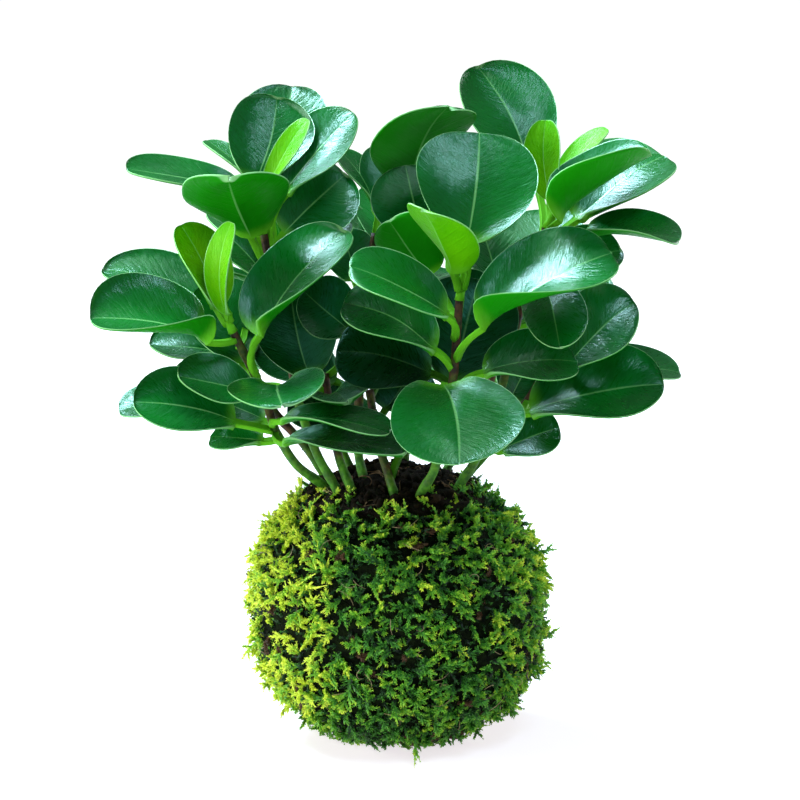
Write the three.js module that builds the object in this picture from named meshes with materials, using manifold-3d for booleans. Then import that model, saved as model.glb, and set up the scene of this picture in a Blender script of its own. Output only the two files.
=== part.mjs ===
// Kokedama: a baby rubber plant that grows out of a ball of soil wrapped in moss.
// Millimetres, +Z up. The origin is the middle of the flat spot that the ball rests on,
// and the plant's front looks along -Y.

import * as THREE from 'three';
import { mergeVertices } from 'three/addons/utils/BufferGeometryUtils.js';
import Module from 'manifold-3d';

const wasm = await Module();
wasm.setup();

// The ball
const BALL_RADIUS = 61;
const BALL_HALF_HEIGHT = 56;
const BALL_CENTRE_HEIGHT = 54;
const BALL_SQUARENESS = 0.88;
const BALL_LEAN = 3;
const BALL_SECTORS = 32;
const MOSS_RINGS = 15;
const LINING_RINGS = 6;
const MOSS_THICKNESS = 7;
const OPENING_RADIUS = 33;
const FLAT_RINGS = 3;
const TUFT_HEIGHT = 2.4;
const SOIL_EDGE_HEIGHT = 99.5;
const SOIL_CROWN = 11;
const SOIL_RINGS = [1, 0.75, 0.4, 0];
const RIM_TAPER = 1;
const GAP = 0.3;
const SHARED_POINT = 1e-4;

// Stems, stalks and blades
const STEM_RADIUS = 2.2;
const STEM_SIDES = 6;
const STEPS_PER_BEND = 2;
const STALK_RADIUS = 1.4;
const STALK_ROWS = 2;
const STALK_ROLL = 15;
const STALK_BEND = 0.45;
const HOLE_CLEARANCE = 0.5;
const STUB_SIDES = 5;
const STUB_LENGTH = 3.8;
const CROWN_RISE = 2.8;
const BLADE_THICKNESS = 1.2;
const BLADE_ROWS = 6;
const BLADE_COLUMNS = 2;
const FUNNEL_ROLL = 46;
const WIDE_FUNNEL_ROLL = 86;
const MOST_ROLL = 92;
const OUTLINE_FULLNESS = 0.9;
const WIDE_FUNNEL_FULLNESS = 0.75;
const WEDGE = 0.3;

// One leaf: where its stalk leaves the stem, counted in points of the stem's path, the two ends of
// the blade's midline, the blade's width and the direction that its upper side looks. The cup is
// how far the section of the blade turns up at each edge, and the arch is the rise of the midline
// as a share of its length. A wide funnel gives the blade full shoulders that stand up at the stalk,
// and the twist is how far the blade is turned about its midline there.
function leaf(at, base, tip, width, face, { cup = 22, arch = 0.06, funnel = 0, twist = 0 } = {}) {
  return { at, base, tip, width, face, cup, arch, funnel, twist };
}

// A leaf of a young shoot springs from the shoot's crown, so it has no place on the stem.
function youngLeaf(...shape) {
  return leaf(null, ...shape);
}

// One leaf given by its compass turn and its rise in degrees, and by the lengths of its stalk and
// blade. Its stalk leaves the stem at 45 degrees.
function ray(at, turn, rise, stalk, length, width) {
  return { at, turn, rise, stalk, length, width, cup: 20, arch: 0.1, funnel: 0, twist: 0 };
}

const STEMS = [
  {
    name: 'left',
    path: [[-27, -9, 86], [-28, -10, 102], [-41, -17, 115], [-49, -22, 130], [-53, -24, 144],
      [-60, -28, 160], [-65, -31, 171]],
    leaves: [
      leaf(5.7, [-74, -37, 168], [-118, -48, 178], 49, [0.1, -0.42, 0.9],
        { cup: 33, funnel: 1, twist: 26 }),
      leaf(5.4, [-69, -4, 175], [-118, 2, 190], 36, [0.3, -0.4, 0.87]),
      leaf(4.5, [-55, -39, 170], [-22, -20, 208], 43, [-0.42, -0.52, 0.72],
        { cup: 20, funnel: 0.8, twist: -20 }),
      leaf(4.3, [-47, -36, 150], [-44, -74, 149], 41, [-0.15, 0, 1]),
      leaf(4.1, [-57, -28, 145], [-86, -38, 154], 28, [0.1, -0.6, 0.8]),
      leaf(3.0, [-64, -31, 135], [-103, -40, 144], 36, [0.25, -0.6, 0.76]),
      leaf(2.8, [-54, -22, 126], [-75, -16, 126], 21, [0, -0.5, 0.86]),
      leaf(3.0, [-45, -30, 127], [2, -50, 125], 34, [0, -0.14, 0.99], { cup: 10 }),
      leaf(3.2, [-46, -32, 136], [-4, -47, 133], 30, [0, -0.12, 0.99], { cup: 12 }),
      leaf(3.0, [-54, -16, 133], [-73, -8, 139], 24, [0.1, -0.6, 0.8]),
      leaf(4.6, [-62, -17, 156], [-74, -9, 187], 33, [0.1, -0.9, 0.4]),
    ],
    young: [
      youngLeaf([-67, -34, 177], [-64, -40, 214], 15, [-0.7, -0.7, 0], { arch: 0.14 }),
      youngLeaf([-70, -28, 179], [-85, -24, 211], 27, [0.4, -0.5, 0.7]),
    ],
  },
  {
    name: 'top_left',
    path: [[-24, -17, 86], [-24, -18, 102], [-33, -18, 120], [-41, -10, 142], [-45, -6, 168],
      [-50, -5, 187], [-54, -4, 206]],
    leaves: [
      leaf(5.4, [-62, 0, 222], [-107, -13, 232], 31, [0.12, -0.3, 0.95], { arch: 0.02 }),
      leaf(5.1, [-58, -14, 206], [-65, -41, 230], 46, [0, 0.63, 0.77], { funnel: 0.6 }),
      leaf(5.3, [-57, 4, 225], [-49, 17, 257], 38, [0, -0.89, 0.45]),
      leaf(5.0, [-51, 14, 220], [-43, 36, 261], 40, [0, -0.8, 0.5]),
      leaf(5.5, [-46, -1, 221], [-18, 3, 252], 36, [-0.35, -0.55, 0.75], { cup: 12, arch: 0.02 }),
      leaf(4.8, [-46, 2, 205], [-22, 12, 227], 38, [0.1, -0.8, 0.5]),
      leaf(4.4, [-38, 0, 194], [-21, 8, 209], 27, [-0.3, -0.5, 0.8]),
      leaf(5.2, [-58, 10, 224], [-78, 24, 240], 16, [0.4, -0.3, 0.8]),
      leaf(4.6, [-53, 2, 186], [-72, 6, 206], 26, [0.3, -0.6, 0.7]),
    ],
    young: [
      youngLeaf([-53, -12, 222], [-36, -9, 251], 12, [-0.5, -0.7, 0.4]),
    ],
  },
  {
    name: 'low_left',
    path: [[-28, 6, 86], [-29, 6, 102], [-38, 4, 118], [-50, 3, 132], [-58, 3, 146]],
    leaves: [
      leaf(3.2, [-73, -2, 134], [-112, -8, 136], 32, [0, -0.3, 0.95]),
      leaf(3.9, [-73, 4, 157], [-100, 2, 160], 28, [0, -0.4, 0.9]),
      leaf(3.6, [-60, 14, 142], [-92, 28, 146], 32, [0.1, -0.2, 0.95]),
      leaf(2.0, [-36, 14, 126], [-10, 28, 130], 26, [0, -0.5, 0.85]),
    ],
  },
  {
    name: 'front',
    path: [[-17, -20, 86], [-18, -21, 102], [-24, -16, 117], [-27, -9, 132], [-30, -8, 150]],
    leaves: [
      leaf(3.6, [-36, -12, 150], [-43, -10, 184], 36, [0.15, -0.9, 0.3]),
      leaf(3.3, [-27, -15, 143], [-20, -42, 144], 28, [-0.2, -0.1, 0.95]),
      leaf(3.9, [-20, -13, 168], [-38, -15, 184], 30, [0.1, -0.8, 0.6]),
    ],
  },
  {
    name: 'centre',
    path: [[7, -24, 86], [7, -25, 102], [14, -29, 117], [19, -31, 143], [21, -32, 156],
      [22, -33, 171], [23, -34, 184]],
    leaves: [
      leaf(5.2, [26, -25, 204], [31, -11, 246], 52, [0, -0.9, 0.42]),
      leaf(4.3, [31, -44, 174], [81, -40, 202], 50, [-0.22, -0.52, 0.84],
        { cup: 32, funnel: 1, twist: -38 }),
      leaf(4.8, [18, -44, 179], [-19, -58, 199], 36, [0.2, -0.5, 0.84]),
      leaf(4.0, [14, -36, 164], [-22, -38, 183], 38, [0.3, -0.5, 0.8]),
      leaf(3.2, [17, -40, 151], [22, -82, 128], 55, [0, -0.46, 0.89], { cup: 10 }),
      leaf(3.4, [12, -24, 153], [-25, -28, 162], 36, [0.2, -0.8, 0.55]),
      leaf(3.1, [32, -34, 155], [69, -30, 158], 34, [-0.05, -0.5, 0.86]),
      leaf(5.4, [12, -14, 190], [-4, -18, 212], 34, [0.3, 0.8, 0.5]),
      leaf(3.4, [21, -18, 148], [31, -8, 188], 44, [0, -0.92, 0.35]),
    ],
    young: [
      youngLeaf([21, -39, 195], [8, -58, 221], 32, [0.6, 0.5, 0.6], { funnel: 0.6 }),
      youngLeaf([25, -41, 197], [26, -43, 210], 7, [-0.6, -0.6, 0.2]),
    ],
  },
  {
    name: 'forked',
    path: [[-2, -25, 86], [-2, -26, 102], [-4, -23, 110], [-9, -18, 126], [-12, -12, 144]],
    leaves: [
      leaf(2.0, [8, -14, 128], [30, 2, 134], 26, [-0.2, -0.5, 0.8]),
      leaf(3.9, [-5, -6, 154], [6, 10, 172], 28, [0, -0.6, 0.8]),
    ],
  },
  {
    name: 'back_centre',
    path: [[-12, -12, 86], [-13, -13, 102], [-17, -3, 120], [-16, 7, 145], [-14, 14, 176],
      [-10, 17, 203]],
    leaves: [
      leaf(4.9, [3, 17, 221], [19, -7, 256], 48, [-0.4, 0.62, 0.66], { cup: 8 }),
      leaf(4.8, [-9, 23, 212], [-25, 28, 236], 20, [0.8, -0.5, 0.5]),
      leaf(4.9, [-8, 24, 214], [-4, 36, 236], 26, [0, -0.8, 0.5]),
      leaf(4.2, [8, 6, 203], [2, 0, 232], 36, [-0.2, -0.9, 0.1]),
      leaf(3.8, [-18, 16, 184], [-24, 18, 204], 24, [0.1, -0.9, 0.3]),
      leaf(2.8, [-26, 12, 144], [-58, 15, 156], 30, [0.2, -0.7, 0.6]),
      leaf(2.3, [-6, 12, 132], [5, 19, 150], 32, [0, -0.8, 0.5]),
      leaf(2.1, [-20, 4, 128], [-42, 15, 138], 30, [0, -0.8, 0.6]),
    ],
  },
  {
    name: 'right',
    path: [[21, -11, 86], [22, -12, 102], [31, -12, 118], [40, -8, 143], [46, -5, 169],
      [51, -4, 191], [58, -3, 208]],
    leaves: [
      leaf(5.6, [61, -23, 213], [97, -25, 238], 50, [-0.58, 0.04, 0.8], { cup: 50, funnel: 0.9 }),
      leaf(5.5, [70, 8, 210], [106, 20, 234], 53, [-0.4, -0.5, 0.75], { cup: 30 }),
      leaf(5.3, [72, -8, 205], [109, -20, 205], 36, [0, -0.18, 0.98], { cup: 32 }),
      leaf(5.8, [53, 24, 227], [32, 43, 268], 43, [0.3, -0.86, 0.42]),
      leaf(5.0, [58, 2, 190], [88, 8, 197], 32, [-0.1, -0.6, 0.8]),
      leaf(4.6, [57, -16, 188], [61, -48, 166], 28, [0, -0.5, 0.85]),
      leaf(3.6, [38, 6, 163], [20, 12, 186], 30, [0.3, -0.8, 0.5]),
      leaf(4.4, [56, 6, 176], [84, 14, 184], 32, [-0.1, -0.6, 0.8]),
    ],
    young: [
      youngLeaf([59, 2, 218], [57, 0, 250], 18, [-0.5, -0.8, 0.2]),
      youngLeaf([61, 6, 220], [82, 10, 246], 15, [-0.7, -0.5, 0.5]),
    ],
  },
  {
    name: 'low_right',
    path: [[23, 3, 86], [24, 3, 102], [33, 1, 114], [42, -4, 126], [50, -8, 138], [56, -8, 148]],
    leaves: [
      leaf(4.8, [65, -14, 154], [92, -18, 180], 42, [-0.4, -0.6, 0.7]),
      leaf(4.2, [51, -20, 137], [103, -23, 148], 48, [0, -0.52, 0.85]),
      leaf(4.7, [74, 6, 147], [113, 10, 148], 32, [0, -0.35, 0.93]),
      leaf(3.2, [40, -16, 121], [63, -18, 130], 26, [0, -0.65, 0.75]),
      leaf(4.0, [44, 4, 137], [57, 10, 160], 28, [0, -0.9, 0.35]),
    ],
  },
  {
    name: 'back_left',
    path: [[-17, 13, 86], [-18, 14, 102], [-30, 27, 124], [-38, 36, 148], [-44, 42, 170]],
    leaves: [
      ray(3.9, 150, 45, 14, 42, 38),
      ray(3.9, 100, 40, 12, 44, 40),
      ray(3.6, 186, 18, 16, 40, 36),
      ray(3.0, 120, 10, 16, 42, 40),
      ray(3.8, 255, 62, 12, 40, 36),
      ray(2.2, 152, 0, 18, 34, 28),
    ],
  },
  {
    name: 'back_middle',
    path: [[2, 19, 86], [2, 20, 102], [2, 34, 124], [0, 45, 150], [-2, 50, 178]],
    leaves: [
      ray(4.0, 90, 40, 12, 44, 40),
      ray(3.9, 20, 50, 12, 40, 38),
      ray(3.9, 165, 50, 12, 40, 38),
      ray(3.3, 60, 10, 16, 40, 38),
      ray(3.1, 125, 5, 16, 40, 38),
      ray(2.2, 85, -10, 16, 36, 34),
    ],
  },
  {
    name: 'back_right',
    path: [[16, 13, 86], [17, 14, 102], [30, 26, 124], [40, 34, 148], [48, 40, 168]],
    leaves: [
      ray(4.0, 60, 45, 12, 42, 38),
      ray(3.9, 5, 40, 12, 44, 40),
      ray(3.8, 115, 50, 12, 40, 36),
      ray(3.2, 20, 10, 16, 40, 38),
      ray(3.0, 70, 5, 16, 40, 38),
      ray(2.2, 40, -10, 16, 36, 32),
    ],
  },
];

const paint = (color, roughness) => new THREE.MeshStandardMaterial({ color, roughness, metalness: 0 });
const MOSS = paint(0x5d7a24, 0.95);
const SOIL = paint(0x2e2119, 1);
const LEAF = paint(0x2f5d2a, 0.3);
const YOUNG_LEAF = paint(0x8fbf3a, 0.4);

const vector = ([x, y, z]) => new THREE.Vector3(x, y, z);

function solidOf(geometry) {
  const bare = geometry.clone();
  bare.deleteAttribute('normal');
  bare.deleteAttribute('uv');
  const merged = mergeVertices(bare, SHARED_POINT);
  const corners = [];
  for (let i = 0; i < merged.index.count; i += 3) {
    const [a, b, c] = [0, 1, 2].map((k) => merged.index.getX(i + k));
    if (a !== b && b !== c && c !== a) corners.push(a, b, c);
  }
  return new wasm.Manifold(new wasm.Mesh({
    numProp: 3,
    vertProperties: new Float32Array(merged.attributes.position.array),
    triVerts: new Uint32Array(corners),
  }));
}

function geometryOf(solid) {
  const { vertProperties, triVerts } = solid.getMesh();
  const geometry = new THREE.BufferGeometry();
  geometry.setAttribute('position', new THREE.BufferAttribute(vertProperties, 3));
  geometry.setIndex(new THREE.BufferAttribute(triVerts, 1));
  geometry.computeVertexNormals();
  return geometry;
}

// Joins grown pieces into one, and fills any small pocket that they close off between them.
function joined(geometries) {
  const whole = geometries.map(solidOf).reduce((grown, piece) => grown.add(piece));
  return wasm.Manifold.compose(whole.decompose().filter((body) => body.volume() > 0));
}

function tube(curve, radius, sides, steps) {
  const corner = (_, i) => {
    const turn = (2 * Math.PI * i) / sides;
    return new THREE.Vector2(radius * Math.cos(turn), radius * Math.sin(turn));
  };
  const section = new THREE.Shape(Array.from({ length: sides }, corner));
  return new THREE.ExtrudeGeometry(section, { extrudePath: curve, steps, bevelEnabled: false });
}

const stemCurve = (path) => new THREE.CatmullRomCurve3(path.map(vector), false, 'catmullrom', 0.5);

// A leaf given by its turn and rise gets the same two midline ends and facing as the others.
function placed(spec, curve, intervals) {
  if (spec.base) {
    return { ...spec, base: vector(spec.base), tip: vector(spec.tip), face: vector(spec.face) };
  }
  const turn = THREE.MathUtils.degToRad(spec.turn);
  const rise = THREE.MathUtils.degToRad(spec.rise);
  const out = new THREE.Vector3(Math.cos(turn), Math.sin(turn), 0);
  const along = out.clone().multiplyScalar(Math.cos(rise)).setZ(Math.sin(rise));
  const face = out.clone().multiplyScalar(-Math.sin(rise)).setZ(Math.cos(rise));
  const stalkRise = new THREE.Vector3(out.x, out.y, 1).normalize();
  const base = curve.getPoint(spec.at / intervals).addScaledVector(stalkRise, spec.stalk);
  const tip = base.clone().addScaledVector(along, spec.length);
  return { ...spec, base, tip, face };
}

// The rows of a leaf from its stem to its tip. The stalk curves into the blade, whose midline is
// arched, whose outline is egg-shaped, and whose cupped section closes to a funnel at the stalk.
function leafRows(start, { base, tip, width, face, cup, arch, funnel, twist }) {
  const { lerp } = THREE.MathUtils;
  const fullness = lerp(OUTLINE_FULLNESS, WIDE_FUNNEL_FULLNESS, funnel);
  const wedge = lerp(WEDGE, 0, funnel);
  const turnedUp = lerp(FUNNEL_ROLL, WIDE_FUNNEL_ROLL, funnel);
  const chord = tip.clone().sub(base);
  const length = chord.length();
  const along = chord.clone().normalize();
  const up = face.clone().addScaledVector(along, -face.dot(along)).normalize();
  const turned = (share) => up.clone()
    .applyAxisAngle(along, THREE.MathUtils.degToRad(twist) * (1 - share) ** 2);
  const bend = base.clone().addScaledVector(along, -STALK_BEND * start.distanceTo(base));
  const curve = new THREE.QuadraticBezierCurve3(start, bend, base);
  const rows = [];
  for (let i = 0; i < STALK_ROWS; i += 1) {
    const share = i / STALK_ROWS;
    rows.push({ middle: curve.getPoint(share), along: curve.getTangent(share), up: turned(0),
      half: STALK_RADIUS, roll: STALK_ROLL, thickness: 2 * STALK_RADIUS });
  }
  for (let i = 0; i <= BLADE_ROWS; i += 1) {
    const step = i / BLADE_ROWS;
    const share = (1 - Math.cos(Math.PI * step)) / 2;
    const bulge = Math.sin(Math.PI * step) ** fullness;
    const outline = (width / 2) * bulge * (1 - wedge * (1 - share) ** 2);
    const middle = base.clone().addScaledVector(along, length * share)
      .addScaledVector(up, 4 * arch * length * share * (1 - share));
    rows.push({ middle, along: along.clone().addScaledVector(up, 4 * arch * (1 - 2 * share)),
      up: turned(share), half: Math.max(outline, STALK_RADIUS),
      roll: i === 0 ? STALK_ROLL : Math.min(cup + turnedUp * (1 - share) ** 3, MOST_ROLL),
      thickness: i === 0 ? 2 * STALK_RADIUS : BLADE_THICKNESS });
  }
  return rows;
}

function leafGeometry(start, whole) {
  const rows = leafRows(start, whole);
  const sheet = new THREE.PlaneGeometry(2, rows.length - 1, BLADE_COLUMNS, rows.length - 1);
  const grid = sheet.attributes.position;
  const upper = [];
  const lower = [];
  for (let i = 0; i < grid.count; i += 1) {
    const { middle, along, up, half, roll, thickness } = rows[Math.floor(i / (BLADE_COLUMNS + 1))];
    const across = new THREE.Vector3().crossVectors(up, along).normalize();
    const normal = new THREE.Vector3().crossVectors(along, across).normalize();
    const turn = grid.getX(i) * THREE.MathUtils.degToRad(roll);
    const radius = half / THREE.MathUtils.degToRad(roll);
    const outward = normal.clone().multiplyScalar(Math.cos(turn))
      .addScaledVector(across, -Math.sin(turn));
    const point = middle.clone().addScaledVector(normal, radius).addScaledVector(outward, -radius);
    upper.push(point);
    lower.push(point.clone().addScaledVector(outward, -thickness));
  }
  return closedSheet(sheet.index.array, upper, lower);
}

// Joins two like grids of points, one above the other, by a rim.
function closedSheet(faces, upper, lower) {
  const count = upper.length;
  const corners = [];
  const edges = new Map();
  for (let i = 0; i < faces.length; i += 3) {
    const [a, b, c] = faces.slice(i, i + 3);
    corners.push(a, b, c, count + a, count + c, count + b);
    [[a, b], [b, c], [c, a]].forEach(([from, to]) => {
      if (!edges.delete(`${to} ${from}`)) edges.set(`${from} ${to}`, [from, to]);
    });
  }
  edges.forEach(([from, to]) => {
    corners.push(from, count + from, to, to, count + from, count + to);
  });
  const geometry = new THREE.BufferGeometry().setFromPoints([...upper, ...lower]);
  geometry.setIndex(corners);
  return geometry;
}

// The stem and its leaves are one grown piece.
function leafyStem({ path, leaves }) {
  const curve = stemCurve(path);
  const intervals = path.length - 1;
  const pieces = [tube(curve, STEM_RADIUS, STEM_SIDES, STEPS_PER_BEND * intervals)];
  leaves.forEach((spec) => {
    const whole = placed(spec, curve, intervals);
    pieces.push(leafGeometry(curve.getPoint(spec.at / intervals), whole));
  });
  return joined(pieces);
}

// The young pair starts just past the tip of its stem, on a short stub of its own.
function youngShoot({ path, young }) {
  const curve = stemCurve(path);
  const heading = curve.getTangent(1);
  const foot = curve.getPoint(1).addScaledVector(heading, GAP);
  const crown = foot.clone().addScaledVector(heading, CROWN_RISE);
  const head = foot.clone().addScaledVector(heading, STUB_LENGTH);
  const pieces = [tube(new THREE.LineCurve3(foot, head), STALK_RADIUS, STUB_SIDES, 1)];
  young.forEach((spec) => pieces.push(leafGeometry(crown, placed(spec))));
  return joined(pieces);
}

// The ball is a little squarer than an ellipse, with full shoulders.
function ringPoint(radius, halfHeight, angle) {
  const across = Math.abs(Math.cos(angle)) ** BALL_SQUARENESS;
  const rise = Math.sign(angle) * Math.abs(Math.sin(angle)) ** BALL_SQUARENESS;
  return new THREE.Vector2(radius * across, BALL_CENTRE_HEIGHT + halfHeight * rise);
}

// Points up one side of the ball, from its axis below to the ring where it is cut open above.
function meridian(inset, openRadius, rings) {
  const radius = BALL_RADIUS - inset;
  const halfHeight = BALL_HALF_HEIGHT - inset;
  const last = Math.acos((openRadius / radius) ** (1 / BALL_SQUARENESS));
  const sweep = last + Math.PI / 2;
  const ring = (_, i) => ringPoint(radius, halfHeight, (sweep * i) / rings - Math.PI / 2);
  const points = Array.from({ length: rings + 1 }, ring);
  points[0].x = 0;
  return points;
}

// The ball leans a little to the left towards its top.
function lean(point) {
  const share = point.z / (BALL_CENTRE_HEIGHT + BALL_HALF_HEIGHT);
  point.x -= BALL_LEAN * share * share;
  return point;
}

// Turns a profile about the upright axis and moves each point, with its place in the profile.
function latheAboutZ(profile, move) {
  const geometry = new THREE.LatheGeometry(profile, BALL_SECTORS);
  geometry.rotateX(Math.PI / 2);
  const places = geometry.attributes.position;
  const point = new THREE.Vector3();
  for (let i = 0; i < places.count; i += 1) {
    move(point.fromBufferAttribute(places, i), i % profile.length);
    places.setXYZ(i, point.x, point.y, point.z);
  }
  return geometry;
}

// Cushions of moss: a waved relief on the outside, pressed flat where the ball stands.
function tuft(point, ring) {
  const turn = Math.atan2(point.y, point.x);
  if (ring > FLAT_RINGS && ring < MOSS_RINGS) {
    const broad = Math.sin(5 * turn + 1.3 * ring + 2 * Math.sin(2 * turn));
    const fine = Math.sin(13 * turn - 2.1 * ring);
    const reach = Math.hypot(point.x, point.y);
    const scale = 1 + (TUFT_HEIGHT * (broad + fine)) / (2 * reach);
    point.x *= scale;
    point.y *= scale;
  }
  point.z = Math.max(point.z, 0);
  return lean(point);
}

function mossCover() {
  const outside = meridian(0, OPENING_RADIUS, MOSS_RINGS);
  const inside = meridian(MOSS_THICKNESS, OPENING_RADIUS - RIM_TAPER, LINING_RINGS).reverse();
  return latheAboutZ([...outside, ...inside], tuft);
}

// The soil fills the moss and rises to a low crown in the opening, with a hole for each stem.
function soilBall(holes) {
  const openRadius = OPENING_RADIUS - RIM_TAPER - GAP;
  const side = meridian(MOSS_THICKNESS + GAP, openRadius, LINING_RINGS);
  const bare = SOIL_RINGS.map((share) => new THREE.Vector2(
    openRadius * share,
    SOIL_EDGE_HEIGHT + SOIL_CROWN * (1 - share * share),
  ));
  const whole = solidOf(latheAboutZ([...side, ...bare], lean));
  return holes.reduce((soil, hole) => soil.subtract(solidOf(hole)), whole);
}

function stemHole({ path }) {
  const [[x, y, z], ...above] = path;
  const deeper = stemCurve([[x, y, z - HOLE_CLEARANCE], ...above]);
  const steps = STEPS_PER_BEND * (path.length - 1);
  return tube(deeper, STEM_RADIUS + HOLE_CLEARANCE, STEM_SIDES, steps);
}

const plant = new THREE.Group();

function place(name, geometry, material) {
  const mesh = new THREE.Mesh(geometry, material);
  mesh.name = name;
  plant.add(mesh);
}

place('moss_cover', geometryOf(solidOf(mossCover())), MOSS);
place('soil_ball', geometryOf(soilBall(STEMS.map(stemHole))), SOIL);
STEMS.forEach((stem) => {
  place(`${stem.name}_leafy_stem`, geometryOf(leafyStem(stem)), LEAF);
  if (stem.young) place(`${stem.name}_young_shoot`, geometryOf(youngShoot(stem)), YOUNG_LEAF);
});

export default plant;
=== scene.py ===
"""The looks of a kokedama: a baby rubber plant that grows out of a moss ball."""

import math

import bpy
import numpy as np
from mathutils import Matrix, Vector


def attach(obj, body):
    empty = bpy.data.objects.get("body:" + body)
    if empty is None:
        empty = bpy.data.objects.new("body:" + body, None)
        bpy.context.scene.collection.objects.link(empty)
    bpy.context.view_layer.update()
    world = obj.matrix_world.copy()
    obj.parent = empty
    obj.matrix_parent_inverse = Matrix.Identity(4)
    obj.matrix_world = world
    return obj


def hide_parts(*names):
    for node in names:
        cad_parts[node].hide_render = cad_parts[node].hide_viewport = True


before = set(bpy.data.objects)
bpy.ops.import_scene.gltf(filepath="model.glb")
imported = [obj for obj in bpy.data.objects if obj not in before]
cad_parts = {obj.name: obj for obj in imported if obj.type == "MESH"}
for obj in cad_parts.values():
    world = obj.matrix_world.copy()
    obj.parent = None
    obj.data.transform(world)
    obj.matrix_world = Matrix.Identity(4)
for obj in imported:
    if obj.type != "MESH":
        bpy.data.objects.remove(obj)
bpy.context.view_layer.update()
rng = np.random.default_rng(20)
MM = 0.001

# The camera, in metres
CAMERA_DISTANCE = 1.1
CAMERA_RISE = math.radians(10)
CAMERA_TARGET = Vector((0, 0, 0.1379))
CAMERA_LENS = 123.75
CAMERA_SENSOR = 36

# The ball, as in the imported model, in millimetres
BALL_RADIUS = 61
BALL_HALF_HEIGHT = 56
BALL_CENTRE_HEIGHT = 54
BALL_TOP = BALL_CENTRE_HEIGHT + BALL_HALF_HEIGHT
BALL_SQUARENESS = 0.88
BALL_LEAN = 3
MOSS_THICKNESS = 7
OPENING_RADIUS = 33
SOIL_EDGE_HEIGHT = 99.5
SOIL_CROWN = 11

# Stems and leaves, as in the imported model, in millimetres
STEM_RADIUS = 2.2
STEM_SLIMNESS = 0.86
STALK_RADIUS = 1.4
STALK_ROLL = 15
STALK_BEND = 0.45
CROWN_RISE = 3.1
FUNNEL_ROLL = 46
WIDE_FUNNEL_ROLL = 86
MOST_ROLL = 92
OUTLINE_FULLNESS = 0.9
WIDE_FUNNEL_FULLNESS = 0.75
WEDGE = 0.3

# Finer detail of stems and leaves, in millimetres or as shares
STALK_ROWS = 6
BLADE_ROWS = 24
SIDE_PLACES = (0.025, 0.08, 0.22, 0.40, 0.57, 0.72, 0.84, 0.93, 0.98, 1)
ACROSS = np.array([-v for v in reversed(SIDE_PLACES)] + [0] + list(SIDE_PLACES))
BLADE_THICKNESS = 0.7
STALK_THICKNESS = 1.7 * STALK_RADIUS
STALK_HALF_WIDTH = 0.85 * STALK_RADIUS
LEAST_HALF_WIDTH = 0.12
RIM_ROUNDING = 0.5
EDGE_WAVE = 0.6
RIPPLE = 0.35
DIMPLE = 0.16
TIP_CURL = 1.6
WAVED_WIDTH = 36
NOTCH_DEPTH = 0.012
NOTCH_WIDTH = 0.09
SKEW = 0.05
GROOVE_DEPTH = 0.32
GROOVE_WIDTH = 0.7
KEEL_DEPTH = 0.55
KEEL_WIDTH = 0.9
FAR_FROM_RIM = 5
STEM_SIDES = 12
TUBE_HELPER = np.array([0.31, 0.95, 0.05])
STEM_TAPER = 0.15
SCAR_SWELL = 0.13
SCAR_SPACING = 5.2
BARK_START = 0.42
BARK_FADE = 0.15
SHOOT_CROWN_RADII = [2.0, 1.7, 1.3]

# Material numbers of the foliage
UPPER = 0
UNDERSIDE = 1
BARK = 2
# A copy of the upper side with less coat, for painted shade on leaves deep inside
SHADED_UPPER = 3

# Where the plant's heart lies, and how far from it leaves are deep in painted shade or in the open
HEART = np.array([-5, 0, 145])
HEART_SQUEEZE = np.array([0.8, 1, 0.8])
DEEP = 30
OPEN = 58
OPEN_SHARE = 0.75
SHADED_TONE = 0.42


def unit(vectors):
    """Each vector at length one."""
    return vectors / np.linalg.norm(vectors, axis=-1, keepdims=True)


def curve(start, bend, end, t):
    """The point at share t of the curve from start to end that leans towards bend."""
    return (1 - t) ** 2 * start + 2 * t * (1 - t) * bend + t ** 2 * end


def flattened(vectors, normals):
    """Vectors without their part along the normals."""
    return vectors - np.sum(vectors * normals, axis=1, keepdims=True) * normals


def level_way(turn):
    """The level direction at a compass turn."""
    return np.array([math.cos(turn), math.sin(turn), 0])


def stem_point(path, at):
    """A point of the smooth curve through a stem's path, at a place counted in points."""
    points = np.array(path, float)
    points = np.vstack([2 * points[0] - points[1], points, 2 * points[-1] - points[-2]])
    first = min(int(at), len(path) - 2)
    t = at - first
    before, start, end, after = points[first:first + 4]
    leave = (end - before) / 2
    arrive = (after - start) / 2
    return ((2 * t ** 3 - 3 * t ** 2 + 1) * start + (t ** 3 - 2 * t ** 2 + t) * leave
            + (3 * t ** 2 - 2 * t ** 3) * end + (t ** 3 - t ** 2) * arrive)


# The plant, stem by stem, in millimetres and degrees

STEMS = []


def stem(name, *path):
    """A new leafy stem, given by the points that its curve passes through."""
    STEMS.append({"name": name, "path": path, "leaves": [], "young": []})


def leaf(at, base, tip, width, face, cup=22, arch=0.06, funnel=0, twist=0, kind="leaves"):
    """A leaf of the last stem: its place on it, the ends of its midline, its width and facing."""
    STEMS[-1][kind].append({
        "at": at, "base": np.array(base, float), "tip": np.array(tip, float), "width": width,
        "face": np.array(face, float), "cup": cup, "arch": arch, "funnel": funnel, "twist": twist})


def young_leaf(*shape, **bends):
    """A leaf of the young shoot at the tip of the last stem."""
    leaf(None, *shape, kind="young", **bends)


def ray(at, turn, rise, stalk, length, width):
    """A leaf given by its compass turn and its rise, with the lengths of its stalk and blade."""
    turn, rise = math.radians(turn), math.radians(rise)
    out = level_way(turn)
    up = np.array([0, 0, 1])
    base = stem_point(STEMS[-1]["path"], at) + unit(out + up) * stalk
    tip = base + (out * math.cos(rise) + up * math.sin(rise)) * length
    leaf(at, base, tip, width, up * math.cos(rise) - out * math.sin(rise), cup=20, arch=0.1)


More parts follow.
